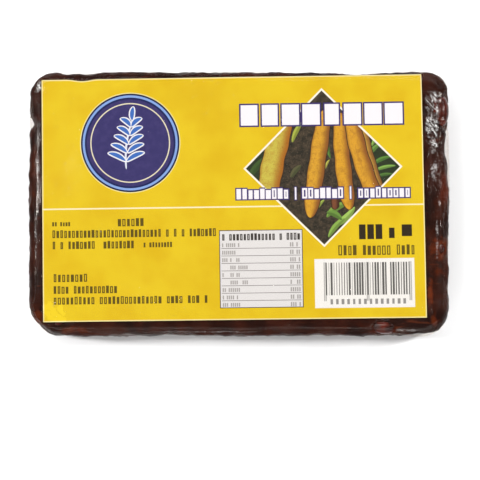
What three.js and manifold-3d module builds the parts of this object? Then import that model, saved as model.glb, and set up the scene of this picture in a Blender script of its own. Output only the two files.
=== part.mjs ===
// A pressed block of tamarind pulp with a few seeds in it, under a printed paper label, all
// wrapped in clear film. Millimetres, +Z up. The block lies on its back with the label facing up,
// its long side runs along X, and the origin is at the middle of its underside.

import * as THREE from 'three';
import { mergeVertices } from 'three/addons/utils/BufferGeometryUtils.js';
import Module from 'manifold-3d';

// The wrapped block
const LENGTH = 122;
const WIDTH = 77;
const HEIGHT = 18;
const EDGE_RADIUS = 4; // rounding between the flat faces and the sides
const EDGE_STEPS = 4;
const CORNER_STEPS = 6;
const CORNER_RADIUS = { rightTop: 6.5, leftTop: 7, leftBottom: 12, rightBottom: 8.3 };

// Thin layers, from the outside in
const FILM = 0.35;
const GAP = 0.3; // clearance between touching pieces
const PAPER = 0.25;
const LABEL_TOP = FILM + GAP;
const LABEL_UNDERSIDE = LABEL_TOP + PAPER;
const PULP = LABEL_UNDERSIDE + GAP;
const PULP_UNDERSIDE = FILM + GAP;

// The film's long overlap along the underside, and the flaps folded over each short end
const SEAM_LENGTH = 92;
const LAP_WIDTH = 12;
const LAP_EDGE_Y = 5; // where the outer layer's free edge lies
const FLAP = { base: 50, tip: 26, low: 4.5, high: 13 };
const FLAP_THICKNESS = 0.35;

// The label
const LABEL_LENGTH = 110.4;
const LABEL_WIDTH = 69.4;
const LABEL_CENTRE = new THREE.Vector2(-1.8, 1.5);
const LABEL_TURN = THREE.MathUtils.degToRad(0.9);
const LABEL_COLUMNS = 16;
const LABEL_ROWS = 14;

// A tamarind seed is a smooth, flattened bean: long, middle and thin half sizes. Each one lies in
// the block's upper edge with its rim outwards. Facing is that direction in plan, and tilt is how
// far the rim looks upwards, both in degrees.
const SEED = { long: 5.4, middle: 4.2, thin: 2.7 };
const SEED_INSET = 0.7;
const SEED_SEGMENTS = 16;
const SEED_RINGS = 10;
const SEEDS = [
  { name: 'seed_upper_right', outlineAt: [60.65, 27], facing: 0, tilt: 45 },
  { name: 'seed_lower_right', outlineAt: [60.65, -13], facing: 0, tilt: 45 },
  { name: 'seed_front_left', outlineAt: [-57.1, -35], facing: 225, tilt: -15 },
  { name: 'seed_front_right', outlineAt: [42, -38.5], facing: 270, tilt: 45 },
];

const QUARTER = Math.PI / 2;
const half = { x: (LENGTH - 2 * FLAP_THICKNESS) / 2, y: WIDTH / 2 };

const wasm = await Module();
wasm.setup();

const material = (color, roughness, extra = {}) =>
  new THREE.MeshStandardMaterial({ color, roughness, metalness: 0, ...extra });
const pulpBrown = material(0x3a2018, 0.35);
const seedBrown = material(0x5a2412, 0.2);
const labelYellow = material(0xf0cb30, 0.45);
const clearFilm = material(0xf4f4f0, 0.1, { transparent: true, opacity: 0.25 });

// ---------------------------------------------------------------- geometry helpers

function toSolid(geometry) {
  const bare = geometry.clone();
  bare.deleteAttribute('normal');
  bare.deleteAttribute('uv');
  const merged = mergeVertices(bare, 1e-4);
  const mesh = new wasm.Mesh({
    numProp: 3,
    vertProperties: new Float32Array(merged.attributes.position.array),
    triVerts: new Uint32Array(merged.index.array),
  });
  return new wasm.Manifold(mesh);
}

function toGeometry(solid) {
  const mesh = solid.getMesh();
  const geometry = new THREE.BufferGeometry();
  geometry.setAttribute('position', new THREE.BufferAttribute(mesh.vertProperties, 3));
  geometry.setIndex(new THREE.BufferAttribute(mesh.triVerts, 1));
  geometry.computeVertexNormals();
  return geometry;
}

// A box given by its lowest and highest corners
function boxBetween(low, high) {
  const size = high.map((value, axis) => value - low[axis]);
  const middle = high.map((value, axis) => (value + low[axis]) / 2);
  return new THREE.BoxGeometry(...size).translate(...middle);
}

const corners = [
  { radius: CORNER_RADIUS.rightTop, sideX: 1, sideY: 1 },
  { radius: CORNER_RADIUS.leftTop, sideX: -1, sideY: 1 },
  { radius: CORNER_RADIUS.leftBottom, sideX: -1, sideY: -1 },
  { radius: CORNER_RADIUS.rightBottom, sideX: 1, sideY: -1 },
].map((corner, index) => ({
  ...corner,
  x: corner.sideX * (half.x - corner.radius),
  y: corner.sideY * (half.y - corner.radius),
  startAngle: index * QUARTER,
}));

// The block's outline in plan, drawn inwards by inset, as points at height z
function outline(inset, z) {
  return corners.flatMap((corner) => {
    const points = [];
    for (let step = 0; step <= CORNER_STEPS; step += 1) {
      const angle = corner.startAngle + (step / CORNER_STEPS) * QUARTER;
      const radius = corner.radius - inset;
      const x = corner.x + radius * Math.cos(angle);
      const y = corner.y + radius * Math.sin(angle);
      points.push(new THREE.Vector3(x, y, z));
    }
    return points;
  });
}

// How far a point of the plan lies inside the outline
function distanceInside(x, y) {
  const corner = corners.find((c) => (x - c.x) * c.sideX > 0 && (y - c.y) * c.sideY > 0);
  if (corner) {
    return corner.radius - Math.hypot(x - corner.x, y - corner.y);
  }
  return Math.min(half.x - Math.abs(x), half.y - Math.abs(y));
}

// The height of the block's top face, drawn inwards by inset, over a point of the plan
function topHeight(x, y, inset) {
  const round = EDGE_RADIUS - inset;
  const depth = Math.min(distanceInside(x, y) - inset, round);
  return HEIGHT - inset - round + Math.sqrt(round * round - (round - depth) ** 2);
}

// Stacked rings of points, closed by a fan at the bottom and one at the top
function stackRings(rings) {
  const count = rings[0].length;
  const middle = (ring) => new THREE.Vector3(0, 0, ring[0].z);
  const points = [...rings.flat(), middle(rings[0]), middle(rings.at(-1))];
  const bottom = rings.length * count;
  const top = bottom + 1;
  const lastRing = (rings.length - 1) * count;
  const triangles = [];
  for (let i = 0; i < count; i += 1) {
    const next = (i + 1) % count;
    triangles.push(bottom, next, i);
    triangles.push(top, lastRing + i, lastRing + next);
    for (let start = 0; start < lastRing; start += count) {
      triangles.push(start + i, start + next, start + count + next);
      triangles.push(start + i, start + count + next, start + count + i);
    }
  }
  const geometry = new THREE.BufferGeometry().setFromPoints(points);
  geometry.setIndex(triangles);
  return geometry;
}

// The whole block drawn inwards: sides by inset, its underside and top by amounts of their own
function roundedBlock(inset, underside, top) {
  const lower = [];
  const upper = [];
  for (let step = 0; step <= EDGE_STEPS; step += 1) {
    const angle = (step / EDGE_STEPS) * QUARTER;
    const round = EDGE_RADIUS - inset;
    const drawnIn = inset + round * (1 - Math.sin(angle));
    const rise = round * (1 - Math.cos(angle));
    lower.push(outline(drawnIn, underside + rise));
    upper.unshift(outline(drawnIn, HEIGHT - top - rise));
  }
  return stackRings([...lower, ...upper]);
}

// ---------------------------------------------------------------- clear film

// The flap folded over one short end: a tapered panel of film lying on the end wall
function endFlap(side) {
  const shape = new THREE.Shape();
  shape.moveTo(-FLAP.base / 2, FLAP.high);
  shape.lineTo(-FLAP.tip / 2, FLAP.low);
  shape.lineTo(FLAP.tip / 2, FLAP.low);
  shape.lineTo(FLAP.base / 2, FLAP.high);
  shape.closePath();
  const depth = FLAP_THICKNESS + FILM / 2;
  const flap = new THREE.ExtrudeGeometry(shape, { depth, bevelEnabled: false });
  flap.rotateX(QUARTER);
  flap.rotateZ(QUARTER);
  const outerFace = LENGTH / 2;
  return flap.translate(side > 0 ? outerFace - depth : -outerFace, 0, 0);
}

// One sheet, wrapped round the block: its two long edges overlap along the underside. The way
// between the two layers leads from outside into the space that the block fills.
function filmWrap() {
  const end = SEAM_LENGTH / 2;
  const lapLow = FILM + GAP;
  const lapHigh = lapLow + FILM;
  const riserY = LAP_EDGE_Y + GAP;
  const slit = boxBetween([-end, LAP_EDGE_Y, -1], [end, riserY, lapLow]);
  const riser = boxBetween([-end, riserY, FILM / 2], [end, riserY + FILM, lapHigh]);
  const innerLayer = boxBetween([-end, LAP_EDGE_Y - LAP_WIDTH, lapLow], [end, riserY + FILM, lapHigh]);
  const shell = toSolid(roundedBlock(0, 0, 0))
    .subtract(toSolid(roundedBlock(FILM, FILM, FILM)))
    .subtract(toSolid(slit))
    .add(toSolid(riser))
    .add(toSolid(innerLayer));
  return toGeometry(shell.add(toSolid(endFlap(1))).add(toSolid(endFlap(-1))));
}

// ---------------------------------------------------------------- label

// Places along a side, from -1 to 1, closer together towards both ends
const spreadPlace = (step, steps) => Math.sin((2 * step / steps - 1) * QUARTER);

// A thin sheet that lies on the block's top face and bends over the rounded edge it reaches
function printedLabel() {
  const points = [];
  const addLayer = (inset) => {
    for (let row = 0; row <= LABEL_ROWS; row += 1) {
      for (let column = 0; column <= LABEL_COLUMNS; column += 1) {
        const across = spreadPlace(column, LABEL_COLUMNS) * LABEL_LENGTH / 2;
        const up = spreadPlace(row, LABEL_ROWS) * LABEL_WIDTH / 2;
        const place = new THREE.Vector2(across, up);
        place.rotateAround(new THREE.Vector2(), LABEL_TURN).add(LABEL_CENTRE);
        points.push(new THREE.Vector3(place.x, place.y, topHeight(place.x, place.y, inset)));
      }
    }
  };
  addLayer(LABEL_UNDERSIDE);
  addLayer(LABEL_TOP);
  const stride = LABEL_COLUMNS + 1;
  const layer = stride * (LABEL_ROWS + 1);
  const triangles = [];
  const addQuad = (a, b, c, d) => triangles.push(a, b, c, a, c, d);
  for (let row = 0; row < LABEL_ROWS; row += 1) {
    for (let column = 0; column < LABEL_COLUMNS; column += 1) {
      const a = row * stride + column;
      const b = a + 1;
      const c = b + stride;
      const d = a + stride;
      addQuad(layer + a, layer + b, layer + c, layer + d);
      addQuad(a, d, c, b);
    }
  }
  for (let column = 0; column < LABEL_COLUMNS; column += 1) {
    const far = LABEL_ROWS * stride + column;
    addQuad(column, column + 1, layer + column + 1, layer + column);
    addQuad(far + 1, far, layer + far, layer + far + 1);
  }
  for (let row = 0; row < LABEL_ROWS; row += 1) {
    const left = row * stride;
    const right = left + LABEL_COLUMNS;
    addQuad(left + stride, left, layer + left, layer + left + stride);
    addQuad(right, right + stride, layer + right + stride, layer + right);
  }
  const geometry = new THREE.BufferGeometry().setFromPoints(points);
  geometry.setIndex(triangles);
  geometry.computeVertexNormals();
  return geometry;
}

// ---------------------------------------------------------------- seeds and pulp

// A seed, or with clearance the pocket that it leaves in the pulp
function seedGeometry({ outlineAt, facing, tilt }, clearance = 0) {
  const heading = THREE.MathUtils.degToRad(facing);
  const upward = THREE.MathUtils.degToRad(tilt);
  const outward = new THREE.Vector3(Math.cos(heading), Math.sin(heading), 0);
  const rim = outward.clone().multiplyScalar(Math.cos(upward)).setZ(Math.sin(upward));
  const centre = new THREE.Vector3(...outlineAt, HEIGHT - EDGE_RADIUS)
    .addScaledVector(outward, -EDGE_RADIUS)
    .addScaledVector(rim, EDGE_RADIUS - SEED_INSET - SEED.middle);
  const seed = new THREE.SphereGeometry(1, SEED_SEGMENTS, SEED_RINGS);
  seed.scale(SEED.long + clearance, SEED.middle + clearance, SEED.thin + clearance);
  seed.rotateX(upward);
  seed.rotateZ(heading - QUARTER);
  return seed.translate(centre.x, centre.y, centre.z);
}

// The pressed pulp, with a pocket for each seed and a shallow groove under the film's overlap
function pulpSlab() {
  const end = SEAM_LENGTH / 2 + GAP;
  const grooveTop = 2 * (FILM + GAP);
  const groove = boxBetween(
    [-end, LAP_EDGE_Y - LAP_WIDTH - GAP, -1],
    [end, LAP_EDGE_Y + FILM + 2 * GAP, grooveTop],
  );
  let slab = toSolid(roundedBlock(PULP, PULP_UNDERSIDE, PULP)).subtract(toSolid(groove));
  for (const seed of SEEDS) {
    slab = slab.subtract(toSolid(seedGeometry(seed, GAP)));
  }
  return toGeometry(slab);
}

// ---------------------------------------------------------------- the object

const block = new THREE.Group();

function addPiece(name, geometry, look) {
  const piece = new THREE.Mesh(geometry, look);
  piece.name = name;
  block.add(piece);
}

addPiece('pulp_slab', pulpSlab(), pulpBrown);
for (const seed of SEEDS) {
  addPiece(seed.name, seedGeometry(seed), seedBrown);
}
addPiece('printed_label', printedLabel(), labelYellow);
addPiece('film_wrap', filmWrap(), clearFilm);

export default block;
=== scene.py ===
# %% [markdown]
# # A wrapped block of pressed tamarind
# The block is a slab of dark, sticky fruit pulp with a few seeds in it. A printed paper label lies
# on top, and one sheet of clear film is wrapped tightly round everything. This lesson builds it
# from the inside out: a plain form of the block first, then the pulp, the seeds, the label and
# the film, all made from that one form, so that each layer fits the one under it.

# %% Load the fixed frame
import math
import random

import bpy
import numpy as np
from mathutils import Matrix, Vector


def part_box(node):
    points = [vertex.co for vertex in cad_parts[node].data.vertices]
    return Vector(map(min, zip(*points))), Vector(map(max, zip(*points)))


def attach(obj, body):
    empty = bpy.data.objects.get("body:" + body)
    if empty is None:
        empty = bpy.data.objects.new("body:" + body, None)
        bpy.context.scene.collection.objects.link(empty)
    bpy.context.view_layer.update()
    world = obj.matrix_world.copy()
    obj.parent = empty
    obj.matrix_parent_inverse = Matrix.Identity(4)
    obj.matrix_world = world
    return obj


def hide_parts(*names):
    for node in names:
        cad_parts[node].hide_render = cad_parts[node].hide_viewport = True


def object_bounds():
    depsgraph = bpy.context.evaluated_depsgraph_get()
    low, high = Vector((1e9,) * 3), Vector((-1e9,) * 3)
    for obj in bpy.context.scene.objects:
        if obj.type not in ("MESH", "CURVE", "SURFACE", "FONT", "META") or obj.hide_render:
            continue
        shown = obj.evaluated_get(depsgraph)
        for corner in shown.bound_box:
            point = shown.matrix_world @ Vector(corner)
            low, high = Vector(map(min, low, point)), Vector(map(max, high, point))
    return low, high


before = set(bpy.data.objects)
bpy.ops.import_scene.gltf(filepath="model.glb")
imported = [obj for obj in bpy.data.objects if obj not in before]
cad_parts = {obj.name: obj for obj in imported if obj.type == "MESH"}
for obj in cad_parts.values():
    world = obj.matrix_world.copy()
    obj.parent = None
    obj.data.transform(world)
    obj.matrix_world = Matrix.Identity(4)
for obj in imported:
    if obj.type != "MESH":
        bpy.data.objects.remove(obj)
cad_low, cad_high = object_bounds()
bpy.ops.object.select_all(action="DESELECT")
MM = 0.001
print("CAD box in mm:", [round(v / MM, 2) for v in (*cad_low, *cad_high)])

# %% [markdown]
# ## Small helpers
# Modelling by hand is a few moves made again and again: pick one piece, pick some of its faces or
# edges, add a modifier and apply it. Each move is written once here. Sizes are in millimetres in
# the calls and become metres at the last moment, because a food packet is easier to think of that
# way.


# %% Pick, apply and copy
def only(piece):
    """Makes piece the one selected, active object."""
    bpy.ops.object.select_all(action="DESELECT")
    piece.select_set(True)
    bpy.context.view_layer.objects.active = piece
    return piece


def modify(piece, kind, **settings):
    """Adds a modifier, sets it and applies it."""
    only(piece)
    modifier = piece.modifiers.new(kind.title(), kind)
    for key, value in settings.items():
        setattr(modifier, key, value)
    bpy.ops.object.modifier_apply(modifier=modifier.name)
    return piece


def settle(piece, name):
    """Names a piece and puts its place, turn and size into its mesh."""
    only(piece)
    piece.name = name
    bpy.ops.object.transform_apply(location=True, rotation=True, scale=True)
    return piece


def copy_of(piece, name):
    """A copy with a mesh of its own."""
    only(piece)
    bpy.ops.object.duplicate(linked=False)
    twin = bpy.context.object
    twin.name = name
    return twin


# %% Read and move points in millimetres
def points_of(piece):
    """The piece's points as rows of x, y, z in millimetres."""
    flat = np.empty(len(piece.data.vertices) * 3)
    piece.data.vertices.foreach_get("co", flat)
    return flat.reshape(-1, 3) / MM


def move_points(piece, places):
    """Puts the piece's points at these places, in millimetres."""
    piece.data.vertices.foreach_set("co", (places * MM).ravel())
    piece.data.update()


def normals_of(piece):
    flat = np.empty(len(piece.data.vertices) * 3)
    piece.data.vertices.foreach_get("normal", flat)
    return flat.reshape(-1, 3)


def ramp(values, start, end):
    """Rises smoothly from 0 at start to 1 at end."""
    t = np.clip((values - start) / (end - start), 0, 1)
    return t * t * (3 - 2 * t)


def weigh(piece, name, weights):
    """Gives every point a weight from 0 to 1, as weight painting does."""
    group = piece.vertex_groups.new(name=name)
    for index, weight in enumerate(weights):
        group.add((index,), float(weight), "REPLACE")


def pattern(name, kind, scale_mm, **settings):
    """One of Blender's procedural textures, for a Displace modifier to read."""
    texture = bpy.data.textures.new(name, kind)
    texture.noise_scale = scale_mm * MM
    for key, value in settings.items():
        setattr(texture, key, value)
    return texture


def swell(piece, amount_mm, texture=None, group="", middle=0.5):
    """Moves the surface out along its normals, by a texture if there is one."""
    settings = {"strength": amount_mm * MM, "mid_level": middle if texture else 0.0}
    if texture:
        settings.update(texture=texture, texture_coords="LOCAL")
    return modify(piece, "DISPLACE", vertex_group=group, **settings)


# %% [markdown]
# ## The form
# The block was pressed in a mould and then squeezed by its wrapping, so it is a slab with soft
# edges and four unequal corners. It starts as a cube. The upright edges are bevelled one at a
# time, each by its own radius, and then both rims. A voxel remesh gives an even skin of small
# squares, which takes lumps and dents well. The film has a clearance around the form, so the form
# is a little smaller than the CAD box.

# %% Make the form
FILM_ROOM = 0.3  # from the form's surface to the outside of the film
RIM = 3.4  # rounding of the top and bottom edges
CORNERS = {(1, 1): 6.5, (-1, 1): 7.0, (-1, -1): 9.5, (1, -1): 8.3}
half_x = cad_high.x / MM - FILM_ROOM
half_y = cad_high.y / MM - FILM_ROOM
form_low = FILM_ROOM
form_high = cad_high.z / MM - FILM_ROOM


def select_edges(piece, chosen):
    """Selects the edges whose two ends, in millimetres, pass the test."""
    bpy.ops.object.mode_set(mode="EDIT")
    bpy.ops.mesh.select_mode(type="EDGE")
    bpy.ops.mesh.select_all(action="DESELECT")
    bpy.ops.object.mode_set(mode="OBJECT")
    places = points_of(piece)
    for edge in piece.data.edges:
        edge.select = bool(chosen(*(places[i] for i in edge.vertices)))
    bpy.ops.object.mode_set(mode="EDIT")


def make_form():
    size = Vector((2 * half_x, 2 * half_y, form_high - form_low)) * MM
    middle = Vector((0, 0, (form_high + form_low) / 2)) * MM
    bpy.ops.mesh.primitive_cube_add(size=1, location=middle, scale=size)
    form = settle(bpy.context.object, "block_form")
    for (side_x, side_y), radius in CORNERS.items():
        corner = np.array([side_x * half_x, side_y * half_y])
        select_edges(form, lambda a, b: np.allclose(a[:2], corner) and np.allclose(b[:2], corner))
        bpy.ops.mesh.bevel(offset=radius * MM, segments=10, affect="EDGES")
        bpy.ops.object.mode_set(mode="OBJECT")
    select_edges(form, lambda a, b: abs(a[2] - b[2]) < 0.01)
    bpy.ops.mesh.bevel(offset=RIM * MM, segments=6, affect="EDGES")
    bpy.ops.object.mode_set(mode="OBJECT")
    return form


form = make_form()
print("form:", len(form.data.vertices), "points")

# %% [markdown]
# The skin of small squares gets its first waves here. Every later layer starts from this form, so
# the waves go through all of them, as they do when film pulls a label down onto pulp. The
# underside stays flat: it was pressed against a table.

# %% Give the form its skin and its slow waves
FORM_SQUARE = 0.92
modify(form, "REMESH", mode="VOXEL", voxel_size=FORM_SQUARE * MM)


def side_weight(places):
    """1 on the sides and rims, 0 over the flat top and bottom."""
    height = places[:, 2]
    top = ramp(height, form_high - 0.2, form_high - 2.5)
    bottom = ramp(height, form_low + 0.2, form_low + 2.5)
    return top * bottom


def top_weight(places):
    return ramp(places[:, 2], form_high - 3, form_high - 0.5)


weigh(form, "sides", side_weight(points_of(form)))
weigh(form, "top", top_weight(points_of(form)))
swell(form, 0.7, pattern("side waves", "CLOUDS", 16, noise_depth=1), "sides", middle=0.55)
swell(form, 0.9, pattern("top waves", "CLOUDS", 22, noise_depth=0), "top", middle=0.6)
print("form skin:", len(form.data.polygons), "faces")

# %% [markdown]
# ## The pulp
# Pressed tamarind is a mat of sticky flesh and strings. Its surface has soft lumps, creases where
# one piece of flesh was pressed against the next, and small pits. The form is remeshed finer,
# dented at listed spots where the real block has lost a bit of its edge, and then displaced by
# three textures from coarse to fine. Under the label the lumps are held flatter.

# %% Make the pulp
PULP_SQUARE = 0.55
DRAWN_IN = 0.45  # how far the whole skin is first drawn in, so that the label lies clear of it
BUILT_UP = 0.85  # how far the rough parts are then built up again
LUMPS = 1.0
CREASES = 0.35
PITS = 0.25
HOLLOW = (4.8, 7.8)  # the hollow round a seed is full up to the first distance, gone at the second
# Dents: place x, y, how far they reach, how deep they push towards the block's middle
DENTS = [
    ((60.6, 16.5), 7.5, 1.2),
    ((60.6, 8.0), 4.0, 0.5),
    ((-60.6, 23.4), 3.2, 1.5),
    ((-50.3, 38.3), 3.0, 0.6),
    ((-44.0, 38.3), 6.0, 0.7),
    ((34.0, 38.3), 14.0, 0.7),
    ((-60.6, -8.0), 34.0, -0.5),
    ((52.0, -37.0), 7.0, 0.7),
    ((-20.0, -38.3), 9.0, 0.4),
    ((20.0, -38.3), 7.0, 0.35),
]
# The seeds: facing in plan and upward tilt in degrees, how far each has worked outwards from the
# middle of its CAD solid, and how far the pulp is drawn in round it
SEEDS = {
    "seed_upper_right": (0, 45, 1.1, 1.8),
    "seed_lower_right": (0, 45, 0.2, 0.2),
    "seed_front_left": (225, -15, 0.3, 0.7),
    "seed_front_right": (270, 45, 0.2, 0.4),
}


def dent(places, spot, reach, depth):
    """Pushes the sides in around a spot of the outline, towards the block's middle."""
    offset = places[:, :2] - np.array(spot)
    near = 1 - ramp(np.hypot(offset[:, 0], offset[:, 1]), 0, reach)
    if abs(spot[1]) / half_y > abs(spot[0]) / half_x:
        inward = np.array([0, -np.sign(spot[1])])
    else:
        inward = np.array([-np.sign(spot[0]), 0])
    places[:, :2] += near[:, None] * depth * inward


def rough_weight(places):
    """How far the lumps show: fully on the sides, hardly at all under the label."""
    beside_label = ramp(places[:, 0], 54.4, 56.0)
    return np.maximum(side_weight(places), 0.04 + 0.5 * beside_label)


def seed_middle(name):
    """The middle of a seed's CAD solid, moved outwards as far as the seed has worked out."""
    low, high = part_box(name)
    facing, _, outwards, _ = SEEDS[name]
    heading = math.radians(facing)
    return (low + high) / 2 + Vector((math.cos(heading), math.sin(heading), 0)) * outwards * MM


def bare_seeds(piece):
    """Draws the surface in round each seed, so that the seed shows."""
    places, normals = points_of(piece), normals_of(piece)
    for name, (*_, hollow) in SEEDS.items():
        away = np.linalg.norm(places - np.array(seed_middle(name)) / MM, axis=1)
        places -= normals * hollow * (1 - ramp(away, *HOLLOW))[:, None]
    move_points(piece, places)


def make_pulp():
    pulp = copy_of(form, "pulp")
    pulp.vertex_groups.clear()
    modify(pulp, "REMESH", mode="VOXEL", voxel_size=PULP_SQUARE * MM)
    places = points_of(pulp)
    for spot, reach, depth in DENTS:
        dent(places, spot, reach, depth)
    move_points(pulp, places)
    weigh(pulp, "rough", rough_weight(points_of(pulp)))
    swell(pulp, -DRAWN_IN)
    swell(pulp, BUILT_UP, group="rough")
    swell(pulp, LUMPS, pattern("lumps", "CLOUDS", 6, noise_depth=2), "rough", middle=0.68)
    creases = pattern("creases", "MUSGRAVE", 5, musgrave_type="RIDGED_MULTIFRACTAL", noise_intensity=0.6)
    swell(pulp, -CREASES, creases, "rough", middle=0.2)
    swell(pulp, PITS, pattern("pits", "STUCCI", 1.6, turbulence=0.004), "rough", middle=0.7)
    bare_seeds(pulp)
    return pulp


pulp = make_pulp()
print("pulp:", len(pulp.data.polygons), "faces")

# %% [markdown]
# ## The seeds
# A tamarind seed is a flattened, squarish bean with a hard, glossy coat. Four lie in the upper
# edge of the block with their rims outwards, where the pulp only half covers them. Each starts as
# a small sphere, is squashed to a bean, gets a flat on each broad face, and is turned and moved
# to its place. That is the middle of its CAD solid, a little further out from the block's middle.

# %% Make the seeds
SEED_HALF = Vector((5.4, 4.2, 2.7))  # long, middle and thin half sizes
SQUARING = 0.9  # a power below 1 squares the outline a little
FLAT_FROM = 0.86  # the broad faces are cut flat here, as a share of the half thickness


def make_seed(name):
    facing, tilt, *_ = SEEDS[name]
    bpy.ops.mesh.primitive_uv_sphere_add(segments=40, ring_count=24, radius=1)
    seed = bpy.context.object
    places = points_of(seed) * MM
    round_off = np.abs(places) ** SQUARING * np.sign(places)
    round_off[:, 2] = np.clip(round_off[:, 2], -FLAT_FROM, FLAT_FROM)
    move_points(seed, round_off * np.array(SEED_HALF))
    modify(seed, "SMOOTH", iterations=3, factor=0.5)
    seed.rotation_euler = (math.radians(tilt), 0, math.radians(facing - 90))
    seed.location = seed_middle(name)
    seed = settle(seed, name.replace("seed", "bean"))
    bpy.ops.object.shade_smooth()
    return seed


seeds = {name: make_seed(name) for name in SEEDS}
print("seeds:", [piece.name for piece in seeds.values()])

# %% [markdown]
# The pulp keeps a pocket for each seed. A boolean with a slightly larger copy of the seed cuts it,
# so that a thin dark line of clearance shows round the seed. The lumps cross themselves in places,
# which the exact solver can't sort out. The manifold solver can, and leaves no open edges.

# %% Cut the pockets
POCKET_ROOM = 0.12


def cut_pocket(pulp, seed):
    cutter = swell(copy_of(seed, "cutter"), POCKET_ROOM)
    modify(pulp, "BOOLEAN", operation="DIFFERENCE", object=cutter, solver="MANIFOLD")
    bpy.data.objects.remove(cutter)


for seed in seeds.values():
    cut_pocket(pulp, seed)
only(pulp)
bpy.ops.object.shade_smooth()
print("pulp with pockets:", len(pulp.data.polygons), "faces")

# %% [markdown]
# ## The label
# The label is one sheet of coated paper. It was laid on the pulp by hand, so it sits a little
# turned and not quite square, and it reaches over the rounded edge at the far side and at one
# corner. A fine grid is pinned to its four corners, dropped onto the form by a Shrinkwrap that
# looks straight down, and then given its thickness. The grid keeps its UV map, and the printing
# follows that map.

# %% Make the label
PAPER = 0.09
LABEL_SIZE = (110.5, 70.3)
LABEL_CORNERS = np.array([(-56.85, -34.2), (54.25, -32.85), (-57.3, 35.85), (52.65, 37.6)])
FAR_EDGE_DIP = (-45.5, 4.5, 0.5)  # where the far edge dips in: place, reach and depth


def make_label():
    bpy.ops.mesh.primitive_grid_add(x_subdivisions=140, y_subdivisions=90, size=2)
    label = settle(bpy.context.object, "label")
    across, up = (points_of(label)[:, :2] * MM + 1).T / 2
    near_left, near_right, far_left, far_right = LABEL_CORNERS
    near = np.outer(1 - across, near_left) + np.outer(across, near_right)
    far = np.outer(1 - across, far_left) + np.outer(across, far_right)
    plan = near * (1 - up)[:, None] + far * up[:, None]
    middle, reach, depth = FAR_EDGE_DIP
    plan[:, 1] -= depth * up**8 * (1 - ramp(np.abs(plan[:, 0] - middle), 0, reach))
    move_points(label, np.column_stack([plan, np.full(len(plan), form_high + 5)]))
    modify(
        label,
        "SHRINKWRAP",
        target=form,
        wrap_method="PROJECT",
        use_project_z=True,
        use_positive_direction=False,
        use_negative_direction=True,
        offset=0.02 * MM,
    )
    modify(label, "SOLIDIFY", thickness=PAPER * MM, offset=1)
    only(label)
    bpy.ops.object.shade_smooth_by_angle(angle=math.radians(40))
    return label


label = make_label()
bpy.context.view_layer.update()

# %% [markdown]
# ## The film
# The wrapping is one sheet of thin clear film, pulled tight. It bridges the dents in the pulp, so
# its outline is smoother than the pulp's, and where it has slack it gathers into fine creases.
# The form is copied and swollen until it clears the label. On the sides a Shrinkwrap pulls it
# onto the pulp, smoothing stretches it over the hollows, and more Shrinkwraps keep it outside the
# pulp and the seeds. It is divided more finely where creases run. Each crease is a low ridge
# along a line.
#
# Known fault: the film comes out with stray folded layers under the block and inside it. The
# likely cause is the first Shrinkwrap. It casts inwards, so a point that is already under a lump
# of pulp can pass through the block and land on its far side. A limit on how far it may cast
# should cure that, but it hasn't been tried.

# %% Pull the film onto the pulp
FILM_GAP = 0.2
FILM_THICKNESS = 0.05
CLING = 0.08  # between the film and the pulp, where they touch
FAR_RIM = (33.5, 35.0)  # from here on the label covers the far rim
# Where the film stands off the pulp: place x, y, how far it does
STANDS_OFF = [
    ((60.6, 16.0), 8.0),
    ((60.6, 5.0), 5.0),
    ((-60.6, 23.5), 3.0),
    ((34.0, 38.3), 13.0),
    ((48.0, 38.3), 7.0),
    ((-56.5, -34.0), 9.0),
    ((54.0, -35.0), 8.0),
]


def cling_weight(places):
    """1 on the sides, 0 over the label and the underside. The far side clings lower down."""
    height = places[:, 2]
    far = ramp(places[:, 1], *FAR_RIM)
    near_sides = ramp(height, form_high - 0.3, form_high - 1.6)
    far_side = ramp(height, form_high - 2.4, form_high - 4.2)
    bottom = ramp(height, form_low + 0.2, form_low + 2.0)
    weight = bottom * (near_sides * (1 - far) + far_side * far)
    for spot, reach in STANDS_OFF:
        offset = places[:, :2] - np.array(spot)
        weight *= ramp(np.hypot(offset[:, 0], offset[:, 1]), 0.6 * reach, reach)
    return weight


film = swell(copy_of(form, "film"), FILM_GAP)
film.vertex_groups.clear()
weigh(film, "cling", cling_weight(points_of(film)))
modify(
    film,
    "SHRINKWRAP",
    target=pulp,
    wrap_method="PROJECT",
    use_positive_direction=False,
    use_negative_direction=True,
    offset=CLING * MM,
    vertex_group="cling",
)
modify(film, "SMOOTH", iterations=7, factor=0.5, vertex_group="cling")
for inner in (pulp, *seeds.values()):
    modify(film, "SHRINKWRAP", target=inner, wrap_mode="OUTSIDE", offset=CLING * MM)
film.vertex_groups.clear()

# %% Divide the film finely where it creases


def refine(piece, inside, cuts=1):
    """Divides the faces whose middles, in millimetres, pass the test."""
    only(piece)
    bpy.ops.object.mode_set(mode="EDIT")
    bpy.ops.mesh.select_mode(type="FACE")
    bpy.ops.mesh.select_all(action="DESELECT")
    bpy.ops.object.mode_set(mode="OBJECT")
    for face in piece.data.polygons:
        face.select = bool(inside(face.center / MM))
    bpy.ops.object.mode_set(mode="EDIT")
    bpy.ops.mesh.subdivide(number_cuts=cuts)
    bpy.ops.object.mode_set(mode="OBJECT")


refine(film, lambda at: at.z > 12.5 and at.x > 52.5, cuts=2)
refine(film, lambda at: at.z > 13.5 and 53 < at.x < 57.6 and 17.5 < at.y < 33.5)
refine(film, lambda at: at.z > 13 and at.x < -56.5)
print("film before creases:", len(film.data.polygons), "faces")

# %% [markdown]
# Creases gather in families: short slanting ones beside the label's far right corner, long ones
# running down both short sides, and a few that fan out from the corners. Each family is a loop
# that draws its creases with a seeded random generator, so they fall in the same places every time.
# Known fault: the finished film still differs a little from run to run, in about one point in a
# hundred, mostly along its upper rim. The cause has not been found.

# %% Crease the film
draw = random.Random(11)


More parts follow.
